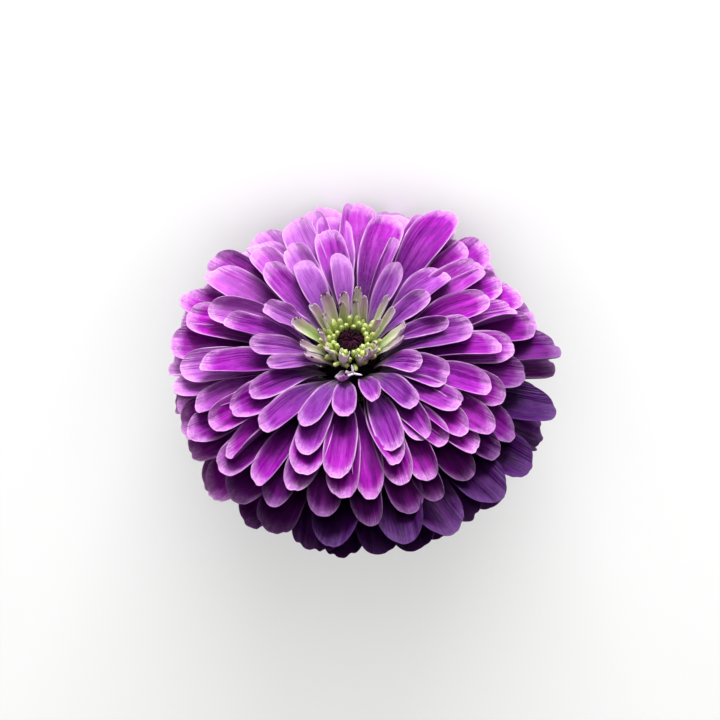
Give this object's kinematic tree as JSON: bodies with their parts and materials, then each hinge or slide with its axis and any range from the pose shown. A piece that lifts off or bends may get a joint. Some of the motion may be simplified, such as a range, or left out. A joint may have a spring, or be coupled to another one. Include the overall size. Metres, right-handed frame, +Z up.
{
  "type": "zinnia flower",
  "caption": "Cut double zinnia bloom with layered spoon-shaped ray petals, a green-ringed dark eye and a short bare stem, lying on its rim petals and stem end.",
  "frame": {"origin": "on the surface that the bloom lies on, under the middle of its box", "axes": "+Z up; the bloom's face looks towards -Y and up, and its stem runs back and down to its cut end at +Y; X runs across the bloom"},
  "size_m": [0.1014, 0.0904, 0.0826],
  "materials": {
    "petal_purple": "matte",
    "petal_lilac": "matte",
    "young_ray": "matte",
    "disc_floret": "satin",
    "eye": "matte",
    "bract": "matte",
    "receptacle": "matte",
    "stem": "satin"
  },
  "bodies": {
    "root": {"ray_petal_01": "petal_purple", "ray_petal_02": "petal_purple", "ray_petal_03": "petal_purple", "ray_petal_04": "petal_purple", "ray_petal_05": "petal_purple", "ray_petal_06": "petal_purple", "ray_petal_07": "petal_purple", "ray_petal_08": "petal_purple", "ray_petal_09": "petal_purple", "ray_petal_10": "petal_purple", "ray_petal_11": "petal_purple", "ray_petal_12": "petal_purple", "ray_petal_13": "petal_purple", "ray_petal_14": "petal_purple", "ray_petal_15": "petal_purple", "ray_petal_16": "petal_purple", "ray_petal_17": "petal_purple", "ray_petal_18": "petal_purple", "ray_petal_19": "petal_purple", "ray_petal_20": "petal_purple", "ray_petal_21": "petal_purple", "ray_petal_22": "petal_purple", "ray_petal_23": "petal_purple", "ray_petal_24": "petal_purple", "ray_petal_25": "petal_purple", "ray_petal_26": "petal_purple", "ray_petal_27": "petal_purple", "ray_petal_28": "petal_purple", "ray_petal_29": "petal_purple", "ray_petal_30": "petal_purple", "ray_petal_31": "petal_purple", "ray_petal_32": "petal_purple", "ray_petal_33": "petal_purple", "ray_petal_34": "petal_purple", "ray_petal_35": "petal_purple", "ray_petal_36": "petal_purple", "ray_petal_37": "petal_purple", "ray_petal_38": "petal_purple", "ray_petal_39": "petal_purple", "ray_whorl_4": "petal_purple", "ray_whorl_5": "petal_purple", "ray_whorl_6": "petal_purple", "ray_whorl_7": "petal_purple", "ray_whorl_8": "petal_purple", "ray_whorl_9": "petal_lilac", "young_rays_outer": "young_ray", "young_rays_inner": "young_ray", "disc_florets": "disc_floret", "eye": "eye", "bracts_lower": "bract", "bracts_middle": "bract", "bracts_upper": "bract", "receptacle": "receptacle", "stem": "stem"}
  },
  "joints": []
}
